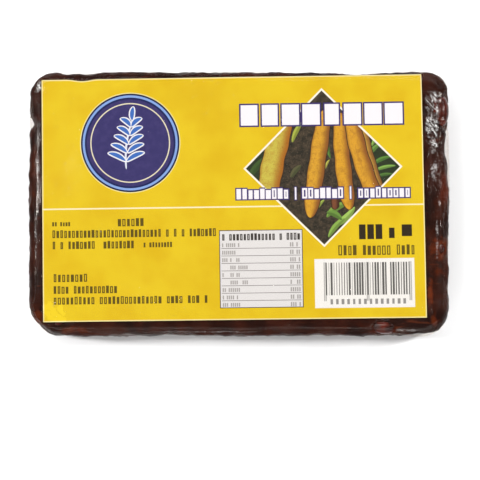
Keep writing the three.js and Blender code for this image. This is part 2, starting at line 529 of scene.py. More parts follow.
def crease_lift(places, start, end, width, height):
    """How far a crease from start to end, in plan, lifts each point."""
    start, along = np.array(start), np.array(end) - np.array(start)
    offset = places[:, :2] - start
    t = np.clip(offset @ along / (along @ along), 0, 1)
    away = offset - t[:, None] * along
    distance = np.hypot(away[:, 0], away[:, 1])
    return height * (1 - (2 * t - 1) ** 2) * np.exp(-((distance / width) ** 2))


def crease_family(count, across, up, heading, spread, lengths, widths, heights):
    """Random creases: their middles lie in the ranges across and up, in plan."""
    for _ in range(count):
        middle = np.array([draw.uniform(*across), draw.uniform(*up)])
        angle = math.radians(heading + draw.uniform(-spread, spread))
        reach = draw.uniform(*lengths) / 2 * np.array([math.cos(angle), math.sin(angle)])
        yield middle - reach, middle + reach, draw.uniform(*widths), draw.uniform(*heights)


FAMILIES = [
    (40, (53.5, 56.8), (18.5, 32.5), -55, 12, (2.5, 6.0), (0.16, 0.24), (0.03, 0.08)),
    (26, (53.5, 58.5), (8.0, 20.0), -75, 40, (1.5, 4.0), (0.25, 0.45), (0.08, 0.2)),
    (22, (54.5, 59.5), (-33.0, 8.0), 86, 12, (5.0, 14.0), (0.3, 0.6), (0.08, 0.2)),
    (12, (-60.0, -57.5), (-30.0, 34.0), 90, 8, (5.0, 16.0), (0.4, 0.7), (0.08, 0.18)),
    (10, (-59.8, -57.8), (27.0, 34.0), -50, 30, (1.5, 3.5), (0.3, 0.45), (0.1, 0.22)),
    (14, (-50.0, 50.0), (35.5, 38.0), 0, 6, (8.0, 25.0), (0.6, 1.0), (0.08, 0.2)),
    (14, (-50.0, 50.0), (-38.0, -34.5), 0, 6, (8.0, 25.0), (0.6, 1.0), (0.08, 0.2)),
    (16, (-50.0, 48.0), (-30.0, 32.0), -50, 60, (12.0, 30.0), (1.2, 2.4), (0.02, 0.05)),
]
# Puckers beside the label: start, end, width, height
PUCKERS = [
    ((55.5, 18.2), (57.2, 15.4), 0.75, 0.5),
    ((54.8, 21.4), (57.6, 21.8), 0.4, 0.35),
    ((55.0, 19.4), (56.4, 18.2), 0.4, 0.3),
    ((56.2, 12.6), (57.0, 9.0), 0.5, 0.4),
    ((57.4, 13.0), (57.9, 9.6), 0.35, 0.3),
    ((55.8, 8.6), (56.9, 6.2), 0.45, 0.35),
    ((56.6, 34.6), (58.8, 32.8), 0.4, 0.3),
    ((-58.6, 34.4), (-57.8, 31.0), 0.4, 0.3),
    ((-58.4, 19.0), (-58.7, 4.0), 0.5, 0.3),
    ((-58.9, -2.0), (-58.5, -18.0), 0.5, 0.25),
]
places, normals = points_of(film), normals_of(film)
lift = np.zeros(len(places))
for family in FAMILIES:
    for crease in crease_family(*family):
        lift += crease_lift(places, *crease)
for pucker in PUCKERS:
    lift += crease_lift(places, *pucker)
lift *= ramp(places[:, 2], form_high - 9, form_high - 3)
move_points(film, places + normals * lift[:, None])
modify(film, "SOLIDIFY", thickness=FILM_THICKNESS * MM, offset=1)
only(film)
bpy.ops.object.shade_smooth()
print("film:", len(film.data.polygons), "faces, greatest lift", round(float(lift.max()), 2), "mm")
bpy.data.objects.remove(form)

# %% [markdown]
# The packet is closed by folds. On each short end a tapered flap is folded flat against the side,
# and on the underside the sheet's two edges lie over each other in a long lap. These are strips
# of the same film: grids, tapered, laid against the packet and thickened.

# %% Fold the end flaps and the lap
FLAP_BASE = 50
FLAP_TIP = 26
FLAP_HEIGHTS = (4.5, 13.0)
LAP_LENGTH = 92
LAP_WIDTH = 12
LAP_EDGE = 5  # the lap ends on this line, in y


def film_strip(name, places_from):
    """A grid whose points, given from 0 to 1 across and up, go to places_from(across, up)."""
    bpy.ops.mesh.primitive_grid_add(x_subdivisions=60, y_subdivisions=16, size=2)
    piece = settle(bpy.context.object, name)
    across, up = (points_of(piece)[:, :2] * MM + 1).T / 2
    move_points(piece, places_from(across, up))
    return piece


def flap_places(side):
    def places(across, up):
        width = FLAP_BASE + (FLAP_TIP - FLAP_BASE) * up
        low, high = FLAP_HEIGHTS
        return np.column_stack([
            np.full(len(up), side * (half_x + 4)),
            side * (across - 0.5) * width,
            low + (high - low) * up,
        ])
    return places


def lap_places(across, up):
    return np.column_stack([
        (0.5 - across) * LAP_LENGTH,
        LAP_EDGE - LAP_WIDTH * up,
        np.full(len(up), FILM_THICKNESS - 0.004),
    ])


def end_flap(name, side):
    flap = film_strip(name, flap_places(side))
    modify(
        flap,
        "SHRINKWRAP",
        target=film,
        wrap_method="PROJECT",
        use_project_x=True,
        use_positive_direction=side < 0,
        use_negative_direction=side > 0,
        offset=0.03 * MM,
    )
    wrinkles = pattern("flap wrinkles", "CLOUDS", 5, noise_depth=1)
    swell(flap, 0.3, wrinkles, middle=0.4)
    return modify(flap, "SOLIDIFY", thickness=FILM_THICKNESS * MM, offset=1)


lap = modify(film_strip("lap", lap_places), "SOLIDIFY", thickness=(FILM_THICKNESS - 0.01) * MM, offset=1)
flaps = [end_flap("right_flap", 1), end_flap("left_flap", -1)]
only(film)
for strip_piece in (*flaps, lap):
    strip_piece.select_set(True)
bpy.ops.object.join()
bpy.ops.object.shade_smooth_by_angle(angle=math.radians(50))
print("film with its folds:", len(film.data.polygons), "faces")

# %% [markdown]
# ## Materials
# A material is a recipe of nodes. The class below only shortens the writing: it adds a node, sets
# it, and links or fills its inputs. Print colours are written as they would be picked on a
# screen and turned into the linear values that the renderer works in.


# %% A short way to write node recipes
def ink(code):
    """A screen colour such as "f0cb30" as linear red, green, blue and alpha."""
    levels = [int(code[i : i + 2], 16) / 255 for i in (0, 2, 4)]
    return [v / 12.92 if v <= 0.04045 else ((v + 0.055) / 1.055) ** 2.4 for v in levels] + [1.0]


class Recipe:
    """Adds nodes to a node tree. A value given to an input may be a number, a colour or a socket."""

    def __init__(self, tree):
        self.tree = tree

    def feed(self, socket, value):
        if isinstance(value, bpy.types.NodeSocket):
            self.tree.links.new(value, socket)
        else:
            socket.default_value = value

    def node(self, kind, inputs=(), **settings):
        made = self.tree.nodes.new(kind)
        for key, value in settings.items():
            setattr(made, key, value)
        for key, value in dict(inputs).items():
            self.feed(made.inputs[key], value)
        return made

    def math(self, operation, *values):
        return self.node("ShaderNodeMath", enumerate(values), operation=operation).outputs[0]

    def blend(self, amount, under, over, kind="MIX"):
        """Lays the colour over on the colour under, where amount is 1."""
        made = self.node("ShaderNodeMix", data_type="RGBA", blend_type=kind)
        self.feed(made.inputs[0], amount)
        self.feed(made.inputs[6], under)
        self.feed(made.inputs[7], over)
        return made.outputs[2]

    def noise(self, place, scale, detail=2.0, roughness=0.5, distortion=0.0):
        inputs = {"Scale": scale, "Detail": detail, "Roughness": roughness, "Distortion": distortion}
        return self.node("ShaderNodeTexNoise", {"Vector": place, **inputs}).outputs["Fac"]

    def spread(self, value, low, high, to_low=0.0, to_high=1.0):
        """Rises smoothly from to_low, where the value is low, to to_high, where it is high."""
        made = self.node("ShaderNodeMapRange", enumerate([value, low, high, to_low, to_high]), clamp=False)
        made.interpolation_type = "SMOOTHSTEP"
        return made.outputs[0]

    def stretch(self, place, scale, turn=(0, 0, 0)):
        inputs = {"Vector": place, "Scale": scale, "Rotation": [math.radians(a) for a in turn]}
        return self.node("ShaderNodeMapping", inputs, vector_type="POINT").outputs[0]

    def bump(self, height, distance_mm, strength=1.0, normal=None):
        inputs = {"Height": height, "Distance": distance_mm * MM, "Strength": strength}
        if normal:
            inputs["Normal"] = normal
        return self.node("ShaderNodeBump", inputs).outputs[0]


def new_material(name):
    material = bpy.data.materials.new(name)
    material.use_nodes = True
    material.node_tree.nodes.clear()
    recipe = Recipe(material.node_tree)
    recipe.end = recipe.node("ShaderNodeOutputMaterial").inputs["Surface"]
    recipe.place = recipe.node("ShaderNodeTexCoord").outputs["Object"]
    return material, recipe


def new_group(name, inputs, outputs):
    """A node group, as (tree, recipe, the sockets it is given, the sockets it gives)."""
    tree = bpy.data.node_groups.new(name, "ShaderNodeTree")
    for label_text, kind in inputs.items():
        tree.interface.new_socket(label_text, in_out="INPUT", socket_type=kind)
    for label_text, kind in outputs.items():
        tree.interface.new_socket(label_text, in_out="OUTPUT", socket_type=kind)
    recipe = Recipe(tree)
    given = recipe.node("NodeGroupInput").outputs
    gives = recipe.node("NodeGroupOutput").inputs
    return tree, recipe, given, gives


def dress(piece, material):
    piece.data.materials.clear()
    piece.data.materials.append(material)


# %% [markdown]
# ### Pulp
# Tamarind pulp is nearly black-brown with redder, clearer flesh where it is thin, and paler
# strings. It is sticky, so it is glossy in patches and dull in others. The colour is mixed from
# broad and fine noise, and streaks stretched along the block make the strings. Where the flesh
# is clearest, near the edge, soft orange ovals with ragged rims are laid over that, one by one.


# %% The pulp's finish
# Clear flesh: place x, y, half sizes across and up, how strongly its colour shows
CLEAR_FLESH = [
    ((55.2, -26.0), (1.0, 4.6), 0.5),
    ((56.4, -34.0), (1.0, 2.4), 0.35),
    ((58.2, -12.6), (3.0, 3.4), 0.4),
    ((57.4, -19.8), (2.4, 1.3), 0.25),
    ((-58.3, -33.0), (1.8, 2.2), 0.36),
    ((-48.0, -36.6), (4.4, 1.1), 0.35),
    ((43.0, -36.4), (5.2, 1.2), 0.35),
    ((-59.2, 12.0), (1.2, 5.0), 0.2),
]


def ovals(r, split, rows, ragged):
    """The strongest of a table's soft ovals, in plan, their rims made ragged by a noise."""
    total = 0.0
    for (x, y), (half_across, half_up), strength in rows:
        du = r.math("DIVIDE", r.math("SUBTRACT", split["X"], x * MM), half_across * MM)
        dv = r.math("DIVIDE", r.math("SUBTRACT", split["Y"], y * MM), half_up * MM)
        away = r.math("ADD", r.math("MULTIPLY", du, du), r.math("MULTIPLY", dv, dv))
        spot = r.spread(r.math("ADD", away, ragged), 1.4, -0.4, 0.0, strength)
        total = r.math("MAXIMUM", total, spot)
    return total


def pulp_finish():
    material, r = new_material("sticky_pulp")
    broad = r.noise(r.place, 120, 3, 0.55, 0.6)
    fine = r.noise(r.place, 900, 4, 0.6)
    strings = r.noise(r.stretch(r.place, (60, 420, 420), (0, 0, 12)), 1, 3, 0.6, 1.2)
    red_spots = r.noise(r.place, 75, 2, 0.5, 0.4)
    colour = r.blend(r.spread(broad, 0.35, 0.7), ink("1b0b07"), ink("36170d"))
    colour = r.blend(r.spread(fine, 0.5, 0.75), colour, ink("250d07"))
    colour = r.blend(r.spread(strings, 0.6, 0.78), colour, ink("492010"))
    colour = r.blend(r.spread(red_spots, 0.6, 0.78, 0.0, 0.8), colour, ink("5a200c"))
    split = r.node("ShaderNodeSeparateXYZ", {0: r.place}).outputs
    ragged = r.spread(r.noise(r.place, 420, 3, 0.6), 0.3, 0.7, -0.7, 0.8)
    colour = r.blend(ovals(r, split, CLEAR_FLESH, ragged), colour, ink("76300f"))
    rough = r.spread(r.noise(r.place, 260, 2), 0.3, 0.75, 0.3, 0.55)
    relief = r.math("ADD", r.math("MULTIPLY", fine, 0.5), strings)
    shader = r.node("ShaderNodeBsdfPrincipled", {"Base Color": colour, "Roughness": rough})
    r.feed(shader.inputs["Normal"], r.bump(relief, 0.25, 0.8))
    shader.inputs["Specular IOR Level"].default_value = 0.05
    shader.inputs["Subsurface Weight"].default_value = 0.1
    shader.inputs["Subsurface Radius"].default_value = (1.0, 0.3, 0.12)
    shader.inputs["Subsurface Scale"].default_value = 1.2 * MM
    r.feed(r.end, shader.outputs[0])
    return material


dress(pulp, pulp_finish())
print("pulp finish made")

# %% [markdown]
# ### Seed coat
# The coat is deep red-brown, darker in fine mottling, with a soft gloss under the film.


# %% The seeds' finish
def seed_finish():
    material, r = new_material("seed_coat")
    mottling = r.noise(r.place, 420, 4, 0.6, 0.4)
    colour = r.blend(r.spread(mottling, 0.35, 0.7), ink("260a05"), ink("56190a"))
    shader = r.node("ShaderNodeBsdfPrincipled", {"Base Color": colour, "Roughness": 0.26})
    shader.inputs["Specular IOR Level"].default_value = 0.22
    r.feed(shader.inputs["Normal"], r.bump(r.noise(r.place, 1500, 2), 0.03, 0.5))
    r.feed(r.end, shader.outputs[0])
    return material


seed_coat = seed_finish()
for seed in seeds.values():
    dress(seed, seed_coat)
print("seed finish made")

# %% [markdown]
# ### The printing
# The print is drawn by distances. For each mark a few nodes work out how far a point of the label
# is from the mark's edge, in millimetres, and ink is laid where that is below zero. All places
# are measured in millimetres from the label's near left corner. Nothing here is lettering: a line
# of print is a row of plain blocks, some tall, some short, some left out. The groups are given
# plain numbers, not vectors, so that the renderer can work the long chain through in order.

# %% Distances to plain shapes
SHARP = 0.12  # how wide the soft edge of the ink is


def inside(r, distance, grow=0.0):
    """1 or more where the distance to a mark, grown by grow, is below 0. The blend clamps it."""
    return r.math("MULTIPLY_ADD", distance, -1 / SHARP, 0.5 + grow / SHARP)


def box_distance(r, u, v, left, right, low, high):
    across = r.math("ABSOLUTE", r.math("SUBTRACT", u, (left + right) / 2))
    across = r.math("SUBTRACT", across, (right - left) / 2)
    up = r.math("ABSOLUTE", r.math("SUBTRACT", v, (low + high) / 2))
    return r.math("MAXIMUM", across, r.math("SUBTRACT", up, (high - low) / 2))


def disc_distance(r, u, v, centre, radius):
    across = r.math("POWER", r.math("SUBTRACT", u, centre[0]), 2.0)
    up = r.math("POWER", r.math("SUBTRACT", v, centre[1]), 2.0)
    return r.math("SUBTRACT", r.math("SQRT", r.math("ADD", across, up)), radius)


def numbers(*names):
    return {name: "NodeSocketFloat" for name in names}


def use_group(r, tree, values):
    made = r.node("ShaderNodeGroup", node_tree=tree)
    for key, value in values.items():
        r.feed(made.inputs[key], value)
    return made.outputs


# %% [markdown]
# A row of blocks is used for every line of print, so it is a node group. It finds which block of
# the row a point belongs to and draws random numbers for it, which set its width and its height,
# hollow it out or leave it out. Then it gives the distance to the block.


# %% The row of blocks
def make_block_row():
    inputs = numbers("U", "V", "Left", "Pitch", "Count", "Middle", "Half Width", "Half Height")
    inputs.update(numbers("Ragged", "Uneven", "Spaces", "Seed", "Stroke", "Solid Share"))
    tree, r, given, gives = new_group("block_row", inputs, numbers("Distance"))
    along = r.math("SUBTRACT", given["U"], given["Left"])
    index = r.math("FLOOR", r.math("DIVIDE", along, given["Pitch"]))
    last = r.math("SUBTRACT", given["Count"], 1.0)
    index = r.math("MAXIMUM", r.math("MINIMUM", index, last), 0.0)
    centre = r.math("MULTIPLY", r.math("ADD", index, 0.5), given["Pitch"])
    chance = r.node("ShaderNodeTexWhiteNoise", noise_dimensions="1D")
    r.feed(chance.inputs["W"], r.math("ADD", index, given["Seed"]))
    draws = r.node("ShaderNodeSeparateColor", {0: chance.outputs["Color"]}).outputs
    thinner = r.math("SUBTRACT", 1.0, r.math("MULTIPLY", draws[1], given["Uneven"]))
    half_width = r.math("MULTIPLY", given["Half Width"], thinner)
    across = r.math("ABSOLUTE", r.math("SUBTRACT", along, centre))
    across = r.math("SUBTRACT", across, half_width)
    short = r.math("MULTIPLY", r.math("GREATER_THAN", draws[0], 0.4), given["Ragged"])
    drop = r.math("MULTIPLY", given["Half Height"], short)
    half_height = r.math("SUBTRACT", given["Half Height"], drop)
    middle = r.math("SUBTRACT", given["Middle"], drop)
    up = r.math("ABSOLUTE", r.math("SUBTRACT", given["V"], middle))
    up = r.math("SUBTRACT", up, half_height)
    distance = r.math("MAXIMUM", across, up)
    core = r.math("SUBTRACT", r.math("MULTIPLY", distance, -1.0), given["Stroke"])
    solid = r.math("LESS_THAN", draws[2], given["Solid Share"])
    distance = r.math("MAXIMUM", distance, r.math("MULTIPLY_ADD", solid, -20.0, core))
    missing = r.math("LESS_THAN", chance.outputs["Value"], given["Spaces"])
    missing = r.math("MULTIPLY", missing, r.math("GREATER_THAN", index, 0.5))
    gap = r.math("MULTIPLY_ADD", missing, 20.0, -10.0)
    r.feed(gives["Distance"], r.math("MAXIMUM", distance, gap))
    return tree


block_row = make_block_row()


def row(r, u, v, left, right, middle, height, count, fill=0.78, seed=0, **random_parts):
    """The distance to a row of blocks between left and right."""
    pitch = (right - left) / count
    values = {"U": u, "V": v, "Left": left, "Pitch": pitch, "Count": count, "Middle": middle}
    values.update({"Half Width": pitch * fill / 2, "Half Height": height / 2, "Seed": seed})
    values.update({"Solid Share": 1.0, **{k.replace("_", " ").title(): x for k, x in random_parts.items()}})
    return use_group(r, block_row, values)["Distance"]


print("block row group:", len(block_row.nodes), "nodes")

# %% [markdown]
# The picture on the label shows ripe pods hanging among leaves. A pod and a leaf are both a bowed
# strip with tapering ends, so one group draws both. It also gives how far across the strip a
# point is, which shades a pod round.


# %% The bowed strip
def make_strip():
    inputs = numbers("U", "V", "Start U", "Start V", "Cosine", "Sine", "Length")
    inputs.update(numbers("Bow", "Half Width", "Bluntness", "Knuckles"))
    tree, r, given, gives = new_group("bowed_strip", inputs, numbers("Distance", "Across"))
    du = r.math("SUBTRACT", given["U"], given["Start U"])
    dv = r.math("SUBTRACT", given["V"], given["Start V"])
    along = r.math("MULTIPLY", du, given["Cosine"])
    along = r.math("MULTIPLY_ADD", dv, given["Sine"], along)
    along = r.math("DIVIDE", along, given["Length"])
    side = r.math("MULTIPLY", dv, given["Cosine"])
    side = r.math("SUBTRACT", side, r.math("MULTIPLY", du, given["Sine"]))
    from_middle = r.math("ABSOLUTE", r.math("MULTIPLY_ADD", along, 2.0, -1.0))
    arch = r.math("SUBTRACT", 1.0, r.math("POWER", from_middle, 2.0))
    side = r.math("SUBTRACT", side, r.math("MULTIPLY", arch, given["Bow"]))
    taper = r.math("SUBTRACT", 1.0, r.math("POWER", from_middle, given["Bluntness"]))
    width = r.math("SQRT", r.math("MAXIMUM", taper, 0.0001))
    waist = r.math("SINE", r.math("MULTIPLY", along, given["Knuckles"]))
    width = r.math("MULTIPLY", width, r.math("MULTIPLY_ADD", waist, 0.045, 1.0))
    width = r.math("MULTIPLY", width, given["Half Width"])
    distance = r.math("SUBTRACT", r.math("ABSOLUTE", side), width)
    beyond = r.math("MULTIPLY", r.math("SUBTRACT", from_middle, 1.0), given["Length"])
    r.feed(gives["Distance"], r.math("MAXIMUM", distance, beyond))
    r.feed(gives["Across"], r.math("DIVIDE", side, width))
    return tree


strip_group = make_strip()


def strip(r, u, v, start, end, bow, half_width, bluntness, knuckles=0.0):
    run = Vector(end) - Vector(start)
    way = run.normalized()
    values = {"U": u, "V": v, "Start U": start[0], "Start V": start[1], "Cosine": way.x}
    values.update({"Sine": way.y, "Length": run.length, "Bow": bow, "Half Width": half_width})
    values.update({"Bluntness": bluntness, "Knuckles": knuckles})
    return use_group(r, strip_group, values)


print("strip group:", len(strip_group.nodes), "nodes")

# %% [markdown]
# The picture is painted from back to front: a dark, mottled thicket, leaves, then the pods, each
# lit from the left. It fills a diamond with a white border.

# %% The picture of pods
DIAMOND = {"centre": (81.35, 43.75), "half_width": 23.05, "half_height": 23.0, "border": 0.5}
# Leaves: start, end, bow, half width, colour
LEAVES = [
    ((59.5, 40.5), (66.0, 47.5), 0.6, 1.0, "3f5a2c"),
    ((62.0, 38.0), (67.5, 43.0), -0.5, 0.9, "4c6a33"),
    ((72.6, 51.2), (75.6, 57.0), 0.4, 0.7, "a9b548"),
    ((77.2, 43.0), (78.6, 51.0), -0.4, 0.6, "54752f"),
    ((83.6, 46.4), (82.6, 55.0), 0.5, 0.55, "5d8a3c"),
    ((82.0, 43.3), (83.3, 46.0), 0.2, 0.35, "c3c057"),
    ((94.8, 47.0), (98.2, 50.4), 0.4, 0.65, "6f9a45"),
    ((95.6, 44.2), (101.0, 46.6), 0.5, 0.6, "5f8f3e"),
    ((95.8, 42.4), (102.4, 44.0), 0.4, 0.5, "86b455"),
    ((96.4, 40.8), (101.6, 41.6), 0.3, 0.45, "567f38"),
    ((95.4, 49.6), (96.6, 53.0), -0.3, 0.45, "8fb452"),
    ((78.9, 31.0), (81.6, 34.4), 0.3, 0.5, "a8bd55"),
    ((82.2, 29.4), (88.8, 33.4), 0.9, 1.0, "7fa648"),
    ((83.8, 26.6), (90.4, 32.2), -0.6, 0.95, "a2c861"),
    ((82.6, 23.6), (87.4, 29.0), 0.5, 0.8, "8cb350"),
    ((82.2, 30.8), (86.6, 28.6), 0.6, 0.9, "6c9440"),
    ((72.0, 41.0), (75.0, 44.5), 0.3, 0.8, "5a5a3c"),
]
# Pods: stem end, tip, bow, half width, lit colour, shaded colour
PODS = [
    ((70.8, 58.5), (65.0, 33.0), -0.9, 3.15, "cdc04e", "a8681f"),
    ((79.6, 62.5), (79.2, 58.5), 0.2, 1.2, "a4834d", "6a4a2c"),
    ((82.4, 60.5), (77.4, 29.3), -0.2, 2.3, "dca530", "8a5624"),
    ((84.3, 36.8), (84.7, 31.6), 0.2, 1.0, "7c4a30", "3c2418"),
    ((86.7, 59.5), (88.9, 31.5), -0.7, 2.2, "dfa62c", "8e5724"),
    ((92.0, 59.0), (98.3, 35.0), -0.6, 1.5, "d0a443", "8a5f2c"),
    ((89.6, 60.0), (97.3, 33.0), -1.1, 2.35, "dda32e", "8c5524"),
]


def picture_of_pods(r, u, v, spot):
    mottling = r.noise(spot, 0.55, 4, 0.7, 0.3)
    specks = r.noise(spot, 2.6, 2, 0.7)
    colour = r.blend(r.spread(mottling, 0.35, 0.68), ink("26241c"), ink("4c4133"))
    colour = r.blend(r.spread(specks, 0.56, 0.72), colour, ink("6c5c49"))
    sides = r.spread(r.math("ABSOLUTE", r.math("SUBTRACT", u, 80.0)), 11.5, 16.0)
    colour = r.blend(r.math("MULTIPLY", sides, 0.85), colour, ink("26361f"))
    for start, end, bow, half_width, code in LEAVES:
        leaf = strip(r, u, v, start, end, bow, half_width, 1.6)
        half_lit = r.spread(leaf["Across"], -0.2, 0.3, 0.55, 1.0)
        green = r.blend(half_lit, ink("25331a"), ink(code))
        colour = r.blend(inside(r, leaf["Distance"]), colour, green)
    for start, end, bow, half_width, lit, shaded in PODS:
        pod = strip(r, u, v, start, end, bow, half_width, 5.0, knuckles=24.0)
        colour = r.blend(inside(r, pod["Distance"], 0.25), colour, ink("3a2a1a"))
        skin = r.blend(r.spread(pod["Across"], -0.1, 0.95), ink(lit), ink(shaded))
        skin = r.blend(r.spread(pod["Across"], -1.0, -0.7, 0.55, 0.0), skin, ink(shaded))
        skin = r.blend(r.spread(mottling, 0.42, 0.7, 0.0, 0.45), skin, ink(shaded))
        skin = r.blend(r.spread(specks, 0.5, 0.75, 0.0, 0.45), skin, ink("7d4d1f"))
        colour = r.blend(inside(r, pod["Distance"]), colour, skin)
    return colour


print("picture:", len(PODS), "pods and", len(LEAVES), "leaves")

# %% [markdown]
# The layout of the label, from the ground up: yellow paper with a fine cream edge, a white rule
# that runs behind the picture, the picture, a heading and a subheading in white blocks with a
# violet outline, dark lines of small print, a ruled table, a bar pattern, and a round badge with
# a leaf sprig.

# %% The places of the print
LEFT_PRINT = [  # left, right, middle, height, blocks, share of gaps
    (21.6, 29.4, 28.7, 2.3, 6, 0.0),
    (2.7, 8.1, 28.4, 1.2, 7, 0.15),
    (2.7, 50.2, 25.5, 2.25, 42, 0.12),
    (2.7, 26.5, 22.25, 2.2, 21, 0.13),
    (29.0, 37.5, 22.1, 1.5, 10, 0.12),
    (2.9, 12.9, 12.75, 2.3, 8, 0.14),
    (2.9, 21.5, 9.3, 2.2, 16, 0.2),
    (2.9, 47.6, 6.15, 2.2, 37, 0.14),
]
RIGHT_PRINT = [(85.2, 107.6, 19.75, 2.9, 16, 0.13)]
WEIGHT_MARK = [(91.2, 98.4, 25.0, 4.3, 3), (99.9, 101.9, 24.6, 3.0, 1), (103.4, 107.1, 25.3, 3.4, 1)]
HEADING = {"left": 57.2, "right": 105.2, "middle": 59.15, "height": 5.9, "count": 8}
SUBHEADING_BLOCKS = {"ragged": 0.14, "uneven": 0.25, "stroke": 0.5, "solid_share": 0.5}
SUBHEADING = [(56.0, 71.4, 9), (75.1, 87.2, 7), (91.3, 106.6, 9)]  # left, right, blocks
TABLE = {"left": 51.0, "right": 75.1, "low": 3.4, "high": 26.0, "head": 5.3, "rows": 9}
BARS = {"left": 78.4, "right": 107.2, "low": 3.1, "high": 17.3}
BAR_PITCH = 0.74
BADGE = {"centre": (25.6, 51.7), "radius": 14.3}


# %% Ground, picture and headings
def ground(r, u, v, spot):
    patches = r.noise(spot, 0.07, 3, 0.55)
    yellow = r.blend(r.spread(patches, 0.35, 0.7), ink("e6c71a"), ink("deb90c"))
    sheet = box_distance(r, u, v, 0, LABEL_SIZE[0], 0, LABEL_SIZE[1])
    yellow = r.blend(inside(r, sheet, -0.3), ink("f7e9a8"), yellow)
    rule = box_distance(r, u, v, 0, LABEL_SIZE[0], 32.55, 32.95)
    return r.blend(inside(r, rule), yellow, ink("fbf2c8"))


def picture_in_diamond(r, u, v, spot, colour):
    centre, half_u, half_v = DIAMOND["centre"], DIAMOND["half_width"], DIAMOND["half_height"]
    across = r.math("DIVIDE", r.math("ABSOLUTE", r.math("SUBTRACT", u, centre[0])), half_u)
    up = r.math("DIVIDE", r.math("ABSOLUTE", r.math("SUBTRACT", v, centre[1])), half_v)
    scale = half_u * half_v / math.hypot(half_u, half_v)
    distance = r.math("MULTIPLY", r.math("SUBTRACT", r.math("ADD", across, up), 1.0), scale)
    colour = r.blend(inside(r, distance), colour, ink("fdf8ea"))
    picture = picture_of_pods(r, u, v, spot)
    return r.blend(inside(r, distance, -DIAMOND["border"]), colour, picture)


def headings(r, u, v, colour):
    violet, white = ink("3b2f6e"), ink("f6f4fb")
    main = row(r, u, v, **HEADING, fill=0.9, seed=5, uneven=0.3)
    colour = r.blend(inside(r, main, 0.45), colour, violet)
    colour = r.blend(inside(r, main), colour, white)
    for seed, (left, right, count) in enumerate(SUBHEADING):
        word = row(r, u, v, left, right, 36.4, 3.0, count, 0.86, 40 + seed * 20, **SUBHEADING_BLOCKS)
        colour = r.blend(inside(r, word, 0.35), colour, violet)
        colour = r.blend(inside(r, word), colour, white)
    for left in (73.1, 89.0):
        bar = box_distance(r, u, v, left, left + 0.45, 34.6, 38.2)
        colour = r.blend(inside(r, bar, 0.2), colour, violet)
        colour = r.blend(inside(r, bar), colour, white)
    return colour


# %% Small print, table and bars
GREEKED = {"fill": 0.76, "ragged": 0.08, "uneven": 0.25, "stroke": 0.31, "solid_share": 0.5}


def small_print(r, u, v, colour):
    dark = ink("2e2410")
    for line, (left, right, middle, height, count, spaces) in enumerate([*LEFT_PRINT, *RIGHT_PRINT]):
        words = row(r, u, v, left, right, middle, height, count, seed=7 + 31 * line, spaces=spaces, **GREEKED)
        colour = r.blend(r.math("MINIMUM", inside(r, words), 0.88), colour, dark)
    for left, right, middle, height, count in WEIGHT_MARK:
        mark = row(r, u, v, left, right, middle, height, count, 0.8, 11, stroke=0.6, solid_share=0.5)
        colour = r.blend(inside(r, mark), colour, dark)
    return colour


def ruled_table(r, u, v, colour):
    left, right, low, high = (TABLE[k] for k in ("left", "right", "low", "high"))
    sheet = box_distance(r, u, v, left, right, low, high)
    grey, dark = ink("8b8784"), ink("3a3532")
    colour = r.blend(inside(r, sheet), colour, dark)
    colour = r.blend(inside(r, sheet, -0.22), colour, ink("e3e2e3"))
    title = row(r, u, v, left + 0.7, right - 0.6, high - 2.0, 2.0, 22, seed=3, spaces=0.05, **GREEKED)
    colour = r.blend(inside(r, title), colour, dark)
    step = (high - TABLE["head"] - low) / (TABLE["rows"] - 1)
    for number in range(TABLE["rows"]):
        rule = high - TABLE["head"] - number * step
        if number < TABLE["rows"] - 1:
            line = box_distance(r, u, v, left + 0.6, right - 0.6, rule - 0.07, rule + 0.07)
            colour = r.blend(inside(r, line), colour, ink("55504d"))
        middle = rule + 0.95
        indent = 3.0 if number in (3, 5) else 0.7
        start = left + indent
        name = row(r, u, v, start, start + 5.2, middle, 1.1, 9, 0.6, 90 + 13 * number, spaces=0.2)
        amount = row(r, u, v, right - 3.8, right - 0.7, middle, 1.2, 5, 0.6, 95 + 17 * number, spaces=0.2)
        both = r.math("MINIMUM", name, amount)
        colour = r.blend(r.math("MINIMUM", inside(r, both), 0.75), colour, grey)
    return colour


def bar_pattern(r, u, v, colour):
    left, right, low, high = (BARS[k] for k in ("left", "right", "low", "high"))
    dark = ink("2b2826")
    colour = r.blend(inside(r, box_distance(r, u, v, left, right, low, high)), colour, ink("f4f3f0"))
    first, last = left + 3.0, right - 1.2
    count = round((last - first) / BAR_PITCH)
    bars = row(r, u, v, first, last, 11.5, 9.4, count, 0.85, 501, uneven=0.85, spaces=0.05)
    colour = r.blend(r.math("MINIMUM", inside(r, bars), 0.9), colour, dark)
    for place in (first, (first + last) / 2, last):
        pair = row(r, u, v, place - 0.45, place + 0.45, 10.7, 11.2, 2, 0.55)
        colour = r.blend(r.math("MINIMUM", inside(r, pair), 0.55), colour, dark)
    marks = row(r, u, v, first + 1.0, last - 1.0, 4.9, 1.5, 14, 0.5, 77, stroke=0.26, uneven=0.3)
    return r.blend(r.math("MINIMUM", inside(r, marks), 0.7), colour, dark)


# %% The badge
def sprig_leaf(r, u, v, root, tip, bow, colour):
    leaf = strip(r, u, v, root, tip, bow, 0.95, 2.0)
    colour = r.blend(inside(r, leaf["Distance"]), colour, ink("f2f4fb"))
    return r.blend(inside(r, leaf["Distance"], -0.35), colour, ink("3f6fc0"))


